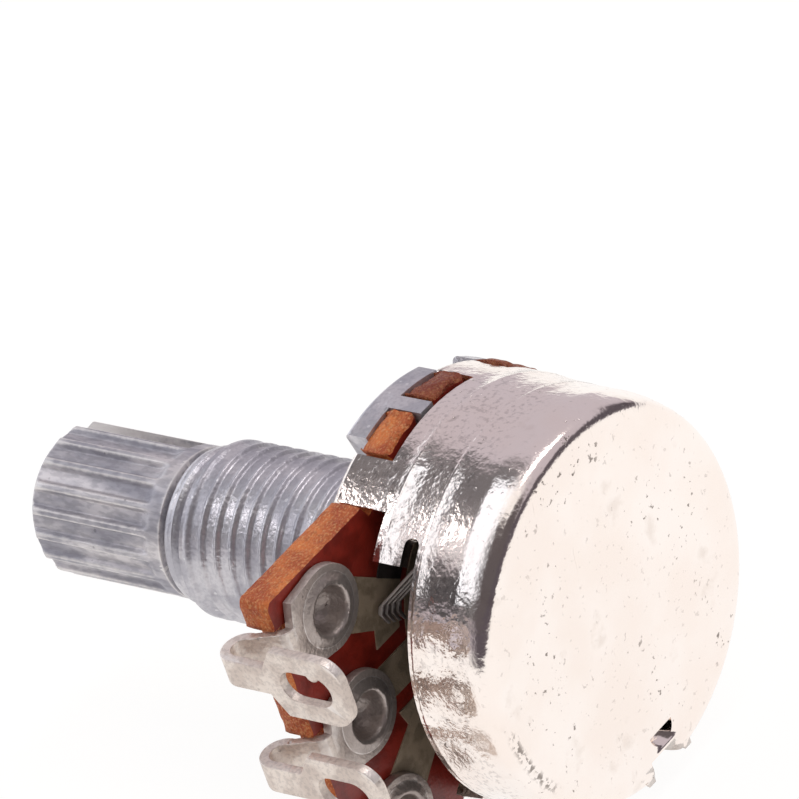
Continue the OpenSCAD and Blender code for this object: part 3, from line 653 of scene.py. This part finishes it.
def knurled_shaft():
    """The shaft: a knurled, split end that stands out of the bushing, and the hidden rear from the node."""
    name = "knurled_shaft"
    front = SHOULDER - 0.95 * MM
    inner = JOURNAL_R - 0.01 * MM
    work = bmesh.new()
    profile = [(0.0, -SHAFT_LEN)]
    profile += [(r, -SHAFT_LEN) for r in spread(0.6 * MM, SHAFT_R - TIP_CHAMFER - 0.05 * MM, 3)]
    profile += [(r, -SHAFT_LEN + r - SHAFT_R + TIP_CHAMFER)
                for r in spread(SHAFT_R - TIP_CHAMFER + 0.02 * MM, SHAFT_R - 0.03 * MM, 8)]
    profile += [(SHAFT_R, y) for y in spread(-SHAFT_LEN + TIP_CHAMFER + 0.02 * MM,
                                             -SHAFT_LEN + KNURL_LEN - 1.0 * MM, 10)]
    profile += [(SHAFT_R, y) for y in spread(-SHAFT_LEN + KNURL_LEN - 0.9 * MM, -SHOULDER - 0.04 * MM, 14)]
    profile += [(SHAFT_R - 0.04 * MM, -SHOULDER), (inner, -SHOULDER), (inner, -front), (0.0, -front)]
    turned_mesh(work, profile, KNURL_TEETH * 20, False)
    mesh = bpy.data.meshes.new(name)
    work.to_mesh(mesh)
    work.free()
    obj = link(name, mesh)
    run_tree(obj, knurl_tree(), Teeth=float(KNURL_TEETH), Depth=KNURL_DEPTH, Radius=SHAFT_R, Ridge=0.2,
             Start=-SHAFT_LEN + KNURL_LEN, Run_out=0.7 * MM, Turned_by=WIPER_ANGLE / (2 * math.pi),
             Material=MATERIALS["shaft"])
    cutter = slit_cutter()
    cut = obj.modifiers.new("slit", "BOOLEAN")
    cut.operation = "DIFFERENCE"
    cut.solver = "EXACT"
    cut.object = cutter
    plain_mesh(obj)
    bpy.data.objects.remove(cutter)
    rear = merged_copy("shaft")
    plane = bmesh.ops.bisect_plane(rear, geom=rear.verts[:] + rear.edges[:] + rear.faces[:],
                                   plane_co=(0, -front - 0.1 * MM, 0), plane_no=(0, 1, 0), clear_inner=True)
    rim = [e for e in plane["geom_cut"] if isinstance(e, bmesh.types.BMEdge)]
    bmesh.ops.holes_fill(rear, edges=rim, sides=0)
    bmesh.ops.recalc_face_normals(rear, faces=rear.faces)
    both = bmesh.new()
    both.from_mesh(obj.data)
    rear_mesh = bpy.data.meshes.new("rear")
    rear.to_mesh(rear_mesh)
    rear.free()
    both.from_mesh(rear_mesh)
    bpy.data.meshes.remove(rear_mesh)
    both.to_mesh(obj.data)
    both.free()
    shade(obj, 32)
    return place_piece(obj, "spindle", "shaft_aluminium", "shaft", "shaft")


def slit_cutter():
    """The block that the slit across the tip takes away, turned with the shaft."""
    work = bmesh.new()
    bmesh.ops.create_cube(work, size=1.0)
    length = SLIT_LEN + MM
    bmesh.ops.scale(work, vec=(8 * MM, length, SLIT_W), verts=work.verts)
    bmesh.ops.translate(work, vec=(0, -SHAFT_LEN + SLIT_LEN - length / 2, 0), verts=work.verts)
    turn = Matrix.Rotation(-WIPER_ANGLE - math.pi / 2, 3, "Y")
    bmesh.ops.rotate(work, cent=(0, 0, 0), matrix=turn, verts=work.verts)
    mesh = bpy.data.meshes.new("slit_block")
    work.to_mesh(mesh)
    work.free()
    return link("slit_block", mesh)


def threaded_bushing():
    """The bushing: bored, with a rounded mouth, a smooth lead-in and a thread up to the plate."""
    name = "threaded_bushing"
    seat = 0.02 * MM
    lip = 0.42 * MM
    thread_front = -BUSH_LEN + LEAD_LEN
    profile = [(BORE_R, y) for y in spread(seat, -BUSH_LEN + 0.2 * MM, 3)]
    profile += [(BORE_R + 0.15 * MM, -BUSH_LEN)]
    profile += arc(LEAD_R - lip, -BUSH_LEN + lip, lip, -90, 0, 8)
    line = -BUSH_LEN + 0.6 * MM
    profile += [(LEAD_R, line - 0.08 * MM), (LEAD_R + 0.04 * MM, line), (LEAD_R, line + 0.08 * MM)]
    profile += [(LEAD_R - neck, thread_front - gap * MM)
                for neck, gap in ((0.02 * MM, 0.44), (0.16 * MM, 0.34), (0.26 * MM, 0.24),
                                  (0.24 * MM, 0.12))]
    profile += [(LEAD_R + (THREAD_R - LEAD_R) * t, thread_front - 0.1 * MM + 0.16 * MM * t)
                for t in spread(0.1, 1.0, 5)]
    rings = int((-thread_front - 0.15 * MM) / (THREAD_PITCH / 14))
    profile += [(THREAD_R, y) for y in spread(thread_front + 0.15 * MM, seat, rings)]
    work = bmesh.new()
    turned_mesh(work, profile, 128, True)
    mesh = bpy.data.meshes.new(name)
    work.to_mesh(mesh)
    work.free()
    obj = link(name, mesh)
    run_tree(obj, thread_tree(), Crest_radius=THREAD_R, Depth=THREAD_DEPTH, Pitch=THREAD_PITCH,
             Front=thread_front - 0.1 * MM, Back=seat, Fade=0.9 * MM, Material=MATERIALS["cast"])
    shade(obj, 50)
    return place_piece(obj, "housing", "die_cast", "cast")


def mounting_plate():
    """The plate, boss, keys and peg of the casting, without the bushing that stands on it."""
    name = "mounting_plate"
    work = merged_copy("bushing_plate")
    reach = THREAD_R + 0.1 * MM
    near = [f for f in work.faces if all(v.co.x ** 2 + v.co.z ** 2 < reach ** 2 for v in f.verts)]
    parts = set(near)
    for face in near:
        parts.update(face.verts)
        parts.update(face.edges)
    bmesh.ops.bisect_plane(work, geom=list(parts), plane_co=(0, 0, 0), plane_no=(0, 1, 0), dist=TINY)
    gone = []
    for face in work.faces:
        centre = face.calc_center_median()
        if centre.y < -TINY and centre.x ** 2 + centre.z ** 2 < reach ** 2:
            gone.append(face)
    bmesh.ops.delete(work, geom=gone, context="FACES")
    rim = [e for e in work.edges if e.is_boundary]
    bmesh.ops.bridge_loops(work, edges=rim)
    bmesh.ops.recalc_face_normals(work, faces=work.faces)
    mesh = bpy.data.meshes.new(name)
    work.to_mesh(mesh)
    work.free()
    obj = link(name, mesh)
    rounded_edges(obj, 0.09 * MM, 3)
    shade(obj, 40)
    return place_piece(obj, "housing", "die_cast", "cast", "bushing_plate")


def cover_wall(y):
    """Outer radius of the cover's wall in the solid, at a distance behind the panel face."""
    along = min(max((y - FLARE_END) / FLARE_TAPER, 0.0), 1.0)
    return FLARE_R + (COVER_R - FLARE_R) * along


def rolled_wall(y):
    """The same wall as it is drawn: two slightly tapered bands, each ended by a rolled line."""
    stations = [(0.4, 8.19), (2.7, 8.15), (3.6, 8.1), (3.71, 8.14), (3.79, 8.125), (3.86, 8.1),
                (5.4, 8.005), (5.48, 8.0), (5.54, 8.022), (5.6, 8.0), (8.0, 8.0)]
    for (y0, r0), (y1, r1) in zip(stations, stations[1:]):
        if y <= y1 * MM:
            return (r0 + (r1 - r0) * max(0.0, (y / MM - y0) / (y1 - y0))) * MM
    return COVER_R


def corner_ease(y):
    """How far the wall draws in before the rounded corner at the back."""
    if y < 8.2 * MM:
        return 0.12 * MM * math.sin(math.pi / 2 * max(0.0, (y - 7.25 * MM) / (0.95 * MM))) ** 2
    return 0.12 * MM * math.cos(math.pi / 2 * min(1.0, (y - 8.2 * MM) / (0.7 * MM))) ** 2


def drawn_cover():
    """The cover from its node, with rolled lines in the wall and a round end to the finger slots."""
    name = "tin_cover"
    work = merged_copy("cover")
    ends = []
    for edge in work.edges:
        a, b = (vert.co for vert in edge.verts)
        turns = [math.degrees(math.atan2(abs(p.z), p.x)) for p in (a, b)]
        beside = all(abs(turn - SLOT_ANGLE) < 0.6 for turn in turns)
        if beside and abs(a.y - b.y) < TINY and any(abs(a.y - side) < 10 * TINY for side in SLOT_SIDES):
            if abs(math.hypot(a.x, a.z) - math.hypot(b.x, b.z)) > 0.2 * MM:
                ends.append(edge)
    bmesh.ops.bevel(work, geom=ends, offset=0.3 * MM, segments=6, profile=0.5, affect="EDGES")
    for y in (0.5, 2.7, 3.15, 3.6, 3.71, 3.75, 3.79, 3.86, 4.6, 5.4, 5.48, 5.54, 5.6, 6.4, 7.25, 7.37,
              7.5, 7.62, 7.74, 7.85):
        everything = work.verts[:] + work.edges[:] + work.faces[:]
        bmesh.ops.bisect_plane(work, geom=everything, plane_co=(0, y * MM, 0), plane_no=(0, 1, 0))
    bmesh.ops.remove_doubles(work, verts=work.verts, dist=0.1 * TINY)
    for vert in work.verts:
        radius = math.hypot(vert.co.x, vert.co.z)
        in_corner = math.hypot(radius - CORNER_R[0], vert.co.y - CORNER_R[1])
        outer_wall = 0.4 * MM < vert.co.y <= CORNER_R[1] and abs(radius - cover_wall(vert.co.y)) < 0.03 * MM
        if outer_wall:
            wanted = rolled_wall(vert.co.y) - corner_ease(vert.co.y)
        elif vert.co.y > CORNER_R[1] and abs(in_corner - CORNER_R[2]) < 0.03 * MM:
            wanted = radius - corner_ease(vert.co.y)
        else:
            continue
        vert.co.x *= wanted / radius
        vert.co.z *= wanted / radius
    mesh = bpy.data.meshes.new(name)
    work.to_mesh(mesh)
    work.free()
    obj = link(name, mesh)
    shade(obj, 45)
    return place_piece(obj, "housing", "cover_tin", "tin", "cover")


def split_sides(work, sides, step):
    """Cuts the side faces of an extruded shape into short lengths."""
    for face in sides:
        level = [e for e in face.edges if abs(e.verts[0].co.y - e.verts[1].co.y) < TINY]
        pieces = int(level[0].calc_length() / step)
        if len(face.verts) != 4 or len(level) != 2 or pieces < 2:
            continue
        start, end = level[0].verts
        across = [e.other_vert(start) for e in start.link_edges]
        partner = next(v for v in across if v in level[1].verts)
        rows = []
        for edge, near in ((level[0], start), (level[1], partner)):
            far = edge.other_vert(near)
            row = []
            for left in range(pieces, 1, -1):
                added = bmesh.utils.edge_split(edge, near, 1.0 / left)[1]
                row.append(added)
                near = added
                edge = next(e for e in added.link_edges if far in e.verts)
            rows.append(row)
        for a, b in zip(*rows):
            shared = [f for f in a.link_faces if b in f.verts]
            bmesh.utils.face_split(shared[0], a, b)


def torn_depth(place):
    """How far a punched edge is broken back at a place: rounded on both sides, more on the teeth."""
    front = max(0.0, 1.0 - (place.y - BOARD_FRONT) / (0.4 * MM))
    back = max(0.0, 1.0 - (BOARD_BACK - place.y) / (0.25 * MM))
    coarse = noise.noise(place * 1300.0)
    fine = noise.noise(place * 4200.0 + Vector((7.0, 3.0, 5.0)))
    plain = 0.05 * front ** 2 + 0.08 * back ** 2 + 0.02 + 0.03 * coarse + 0.03 * fine
    tooth = 0.24 * front ** 1.5 + 0.18 * back ** 2 + 0.07 + 0.13 * coarse + 0.07 * fine
    share = min(max((math.hypot(place.x, place.z) - 7.4 * MM) / (0.5 * MM), 0.0), 1.0)
    if place.x > 4.0 * MM:
        share = 0.0
    return max(plain + (tooth - plain) * share, 0.0) * MM


def torn_board():
    """The board from its node, with its outer edges broken as the punch left them."""
    name = "phenolic_board"
    work = merged_copy("board")
    centres = [middle(f"eyelet_{number}") for number in (1, 2, 3)]

    def outside(place):
        in_hole = any(math.hypot(place.x - c.x, place.z - c.z) < 1.2 * MM for c in centres)
        return math.hypot(place.x, place.z) > 6.9 * MM and not in_hole

    sides = [f for f in work.faces if abs(f.normal.y) < 0.1 and outside(f.calc_center_median())]
    split_sides(work, sides, 0.17 * MM)
    for y in (1.12, 1.25, 1.45, 1.7, 1.95, 2.15, 2.27, 2.35):
        everything = work.verts[:] + work.edges[:] + work.faces[:]
        bmesh.ops.bisect_plane(work, geom=everything, plane_co=(0, y * MM, 0), plane_no=(0, 1, 0))
    moves = []
    for vert in work.verts:
        walls = [f.normal for f in vert.link_faces if abs(f.normal.y) < 0.1]
        if walls and outside(vert.co):
            way = sum(walls, Vector()).normalized()
            outward = Vector((vert.co.x, 0.0, vert.co.z)).normalized()
            share = 0.35 + 0.65 * max(0.0, way.dot(outward))
            moves.append((vert, way * torn_depth(vert.co) * share))
    for vert, move in moves:
        vert.co -= move
    mesh = bpy.data.meshes.new(name)
    work.to_mesh(mesh)
    work.free()
    obj = link(name, mesh)
    shade(obj, 50)
    for polygon in mesh.polygons:
        polygon.use_smooth = abs(polygon.normal.y) < 0.999
    return place_piece(obj, "housing", "phenolic", "phenolic", "board")


def middle(node):
    """The middle of a node's box."""
    corners = [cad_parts[node].matrix_world @ Vector(c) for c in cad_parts[node].bound_box]
    return sum(corners, Vector()) / 8.0


def dished_rivet(number):
    """A rivet that runs into its pad without an edge, with a rounded dish and a flat front head."""
    name = f"rivet_{number}"
    top = PAD_BACK + RIVET_RIM
    front = BOARD_FRONT - 0.16 * MM
    profile = [(0.0, front), (0.6 * MM, front), (1.15 * MM, front), (1.23 * MM, front + 0.02 * MM)]
    profile += [(1.28 * MM, front + 0.08 * MM)]
    profile += [(1.28 * MM, BOARD_FRONT), (0.98 * MM, BOARD_FRONT), (0.98 * MM, PAD_BACK - 0.02 * MM)]
    profile += [(1.46 * MM, PAD_BACK - 0.02 * MM), (1.48 * MM, PAD_BACK + 0.01 * MM)]
    profile += [(1.4 * MM, PAD_BACK + 0.03 * MM), (1.3 * MM, PAD_BACK + 0.07 * MM)]
    profile += [(1.2 * MM, top - 0.035 * MM), (1.12 * MM, top - 0.008 * MM), (1.07 * MM, top)]
    profile += [(1.0 * MM, top - 0.02 * MM), (0.95 * MM, top - 0.08 * MM), (0.91 * MM, top - 0.2 * MM)]
    profile += [(0.86 * MM, top - 0.42 * MM), (0.78 * MM, top - 0.64 * MM), (0.64 * MM, top - 0.84 * MM)]
    profile += [(0.44 * MM, top - 0.98 * MM), (0.2 * MM, top - 1.05 * MM), (0.0, top - 1.07 * MM)]
    work = bmesh.new()
    turned_mesh(work, profile, 64, False)
    centre = middle(f"eyelet_{number}")
    bmesh.ops.translate(work, vec=(centre.x, 0, centre.z), verts=work.verts)
    mesh = bpy.data.meshes.new(name)
    work.to_mesh(mesh)
    work.free()
    obj = link(name, mesh)
    shade(obj, 50)
    return place_piece(obj, "housing", "eyelet_tin", "eyelet", f"eyelet_{number}")


def burred_terminal():
    """The first terminal, with a drop of tin on the upper side of its hole."""
    name = "solder_terminal_1"
    work = merged_copy("terminal_1")
    drop = bmesh.ops.create_uvsphere(work, u_segments=20, v_segments=12, radius=1.0)["verts"]
    bmesh.ops.scale(work, vec=(0.19 * MM, 0.34 * MM, 0.3 * MM), verts=drop)
    for vert in drop:
        below = max(0.0, -vert.co.z / (0.3 * MM))
        vert.co.y *= 1.0 - 0.35 * below
    bmesh.ops.translate(work, vec=(12.35 * MM, 5.42 * MM, 5.64 * MM), verts=drop)
    mesh = bpy.data.meshes.new(name)
    work.to_mesh(mesh)
    work.free()
    obj = link(name, mesh)
    rounded_edges(obj, 0.09 * MM, 3)
    shade(obj, 40)
    return place_piece(obj, "housing", "tinned_lug", "lug", "terminal_1")


# Stage, light and camera

def floor():
    work = bmesh.new()
    bmesh.ops.create_grid(work, x_segments=2, y_segments=2, size=1.5)
    bmesh.ops.translate(work, vec=(0, 0, CAD_BOX[0][2] - 0.02 * MM), verts=work.verts)
    mesh = bpy.data.meshes.new("floor")
    work.to_mesh(mesh)
    work.free()
    obj = link("floor", mesh)
    made = bpy.data.materials.new("pale_floor")
    made.use_nodes = True
    tree = made.node_tree
    tree.nodes.clear()
    rays = add(tree, "ShaderNodeLightPath").outputs
    seen = calc(tree, "ADD", rays["Is Camera Ray"], rays["Is Transmission Ray"], clamp=True)
    shown = calc(tree, "ADD", seen, rays["Is Glossy Ray"], clamp=True)
    paper = add(tree, "ShaderNodeBsdfDiffuse", {"Color": (0.88, 0.86, 0.84, 1)}).outputs[0]
    glow = add(tree, "ShaderNodeEmission", {"Color": (1, 0.995, 0.99, 1), "Strength": 1.07}).outputs[0]
    part = calc(tree, "MULTIPLY", shown, 0.85)
    both = add(tree, "ShaderNodeMixShader", {0: part, 1: paper, 2: glow}).outputs[0]
    add(tree, "ShaderNodeOutputMaterial", {0: both})
    mesh.materials.append(made)


def strip(tree, angle, start, end, soft):
    """1 between two angles, with soft sides."""
    rise = ramp(tree, angle, start - soft, start + soft)
    return calc(tree, "MULTIPLY", rise, ramp(tree, angle, end - soft, end + soft, 1.0, 0.0))


WHITE = (1.0, 0.985, 0.975, 1.0)
LAMP = (1.15, 1.2, 1.3, 1.0)
HAZE = (0.68, 0.67, 0.7, 1.0)
MAUVE = (0.56, 0.51, 0.56, 1.0)
SCREEN = (0.17, 0.16, 0.17, 1.0)
SHADE = (0.085, 0.08, 0.085, 1.0)
CAMERA_SIDE = (0.11, 0.095, 0.1, 1.0)
FAR_EDGE = (0.1, 0.085, 0.1, 1.0)


def shaft_side(tree, x, y, z):
    """What the cover's wall mirrors, by the angle from +X over the top: floor, shade, lamp, screen, room."""
    angle = calc(tree, "MULTIPLY", calc(tree, "ARCTAN2", z, x), 180.0 / math.pi)
    colour = tint(tree, strip(tree, angle, 21.0, 50.0, 7.0), MAUVE, SHADE)
    colour = tint(tree, strip(tree, angle, 66.0, 108.0, 5.0), colour, SCREEN)
    flat_wall = tint(tree, strip(tree, angle, 59.0, 75.0, 4.0), colour, HAZE)
    cone = tint(tree, strip(tree, angle, 51.0, 61.0, 4.0), colour, HAZE)
    colour = tint(tree, ramp(tree, y, -0.613, -0.597), flat_wall, cone)
    bend = tint(tree, strip(tree, angle, 52.0, 94.0, 5.0), colour, LAMP)
    colour = tint(tree, ramp(tree, y, -0.47, -0.43), colour, bend)
    steep = tint(tree, strip(tree, angle, 34.0, 94.0, 4.0), colour, LAMP)
    colour = tint(tree, ramp(tree, y, -0.43, -0.4), colour, steep)
    colour = tint(tree, ramp(tree, y, -0.84, -0.74), LAMP, colour)
    return tint(tree, strip(tree, angle, -40.0, 8.0, 5.0), colour, WHITE)


def facing(tree, way, toward):
    """How closely a direction points at a place in the room."""
    return add(tree, "ShaderNodeVectorMath", {0: way, 1: toward}, operation="DOT_PRODUCT").outputs["Value"]


def room_side(tree, x, y, z):
    """What surfaces towards the camera mirror: a pale room, the dark camera and a dark far edge."""
    way = add(tree, "ShaderNodeCombineXYZ", {0: x, 1: y, 2: z}).outputs[0]
    room = tint(tree, ramp(tree, x, -0.25, 0.05), MAUVE, WHITE)
    near = calc(tree, "MULTIPLY", ramp(tree, facing(tree, way, (0.571, 0.619, 0.539)), 0.5, 0.7),
                ramp(tree, x, 0.16, 0.3))
    beside = ramp(tree, facing(tree, way, (0.38, 0.77, 0.51)), 0.8, 0.88)
    room = tint(tree, calc(tree, "MAXIMUM", near, beside), room, CAMERA_SIDE)
    return tint(tree, strip(tree, z, 0.0, 0.36, 0.05), room, FAR_EDGE)


def studio_world():
    """A pale studio: white low down and overhead, with darker screens that bright metal mirrors."""
    world = bpy.data.worlds.new("studio")
    bpy.context.scene.world = world
    world.use_nodes = True
    tree = world.node_tree
    tree.nodes.clear()
    rays = add(tree, "ShaderNodeLightPath").outputs
    way = add(tree, "ShaderNodeTexCoord").outputs["Generated"]
    x, y, z = add(tree, "ShaderNodeSeparateXYZ", {0: way}).outputs
    upper = tint(tree, ramp(tree, y, -0.3, 0.0), shaft_side(tree, x, y, z), room_side(tree, x, y, z))
    shown = tint(tree, ramp(tree, z, -0.06, 0.02), WHITE, upper)
    for_light = tint(tree, rays["Is Glossy Ray"], (0.7, 0.69, 0.7, 1), shown)
    direct = calc(tree, "ADD", rays["Is Camera Ray"], rays["Is Transmission Ray"], clamp=True)
    final = tint(tree, direct, for_light, (1, 1, 1, 1))
    back = add(tree, "ShaderNodeBackground", {0: final, 1: 1.0}).outputs[0]
    add(tree, "ShaderNodeOutputWorld", {0: back})


def softbox(name, way, distance, width, height, radiance, colour):
    """A rectangular lamp that faces the object from a direction."""
    lamp = bpy.data.lights.new(name, "AREA")
    lamp.shape = "RECTANGLE"
    lamp.size = width
    lamp.size_y = height
    lamp.color = colour
    lamp.energy = radiance * math.pi * width * height
    obj = bpy.data.objects.new(name, lamp)
    bpy.context.scene.collection.objects.link(obj)
    direction = Vector(way).normalized()
    obj.location = direction * distance
    obj.rotation_euler = direction.to_track_quat("Z", "Y").to_euler()


def camera():
    azimuth, elevation, roll = (math.radians(v) for v in (VIEW_AZIMUTH, VIEW_ELEVATION, VIEW_ROLL))
    back = Vector((math.sin(azimuth) * math.cos(elevation), -math.cos(azimuth) * math.cos(elevation),
                   math.sin(elevation)))
    level = (-back).cross(Vector((0, 0, 1))).normalized()
    down = (-back).cross(level)
    right = level * math.cos(roll) + down * math.sin(roll)
    up = level * math.sin(roll) - down * math.cos(roll)
    data = bpy.data.cameras.new("camera")
    data.sensor_fit = "HORIZONTAL"
    data.sensor_width = SENSOR_MM
    data.lens = FOCAL_PIXELS / PICTURE_PIXELS * SENSOR_MM
    data.clip_start = 10 * MM
    data.clip_end = 10.0
    obj = bpy.data.objects.new("camera", data)
    bpy.context.scene.collection.objects.link(obj)
    turn = Matrix((right, up, back)).transposed().to_4x4()
    obj.matrix_world = Matrix.Translation(VIEW_AIM + back * VIEW_DISTANCE) @ turn
    bpy.context.scene.camera = obj


def build():
    knurled_shaft()
    threaded_bushing()
    mounting_plate()
    torn_board()
    for number in (1, 2, 3):
        if number > 1:
            dressed(f"terminal_{number}", f"solder_terminal_{number}", "housing", "tinned_lug", "lug",
                    0.09 * MM, 3)
        dished_rivet(number)
    burred_terminal()
    drawn_cover()
    dressed("rotor", "moulded_rotor", "spindle", "rotor_plastic", "plastic", 0.06 * MM)
    dressed("wiper", "spring_wiper", "spindle", "wiper_bronze", "bronze", 0.03 * MM)
    dressed("retaining_ring", "snap_ring", "spindle", "spring_steel", "spring", 0.04 * MM)
    for node, finish in (("resistive_track", "carbon"), ("end_electrode_1", "ink"),
                         ("end_electrode_3", "ink"), ("collector_track", "ink")):
        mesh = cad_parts[node].data
        for index in range(max(1, len(mesh.materials))):
            if index < len(mesh.materials):
                mesh.materials[index] = MATERIALS[finish]
            else:
                mesh.materials.append(MATERIALS[finish])


build()
floor()
studio_world()
softbox("front_light", (0.28, -0.67, 0.695), 0.5, 0.1, 0.1, 4.4, (1.0, 0.98, 1.0))
softbox("top_light", (-0.4, 0.1, 0.92), 0.5, 0.09, 0.26, 5.5, (1.0, 0.985, 0.97))
camera()
bpy.context.scene.view_settings.view_transform = "Standard"
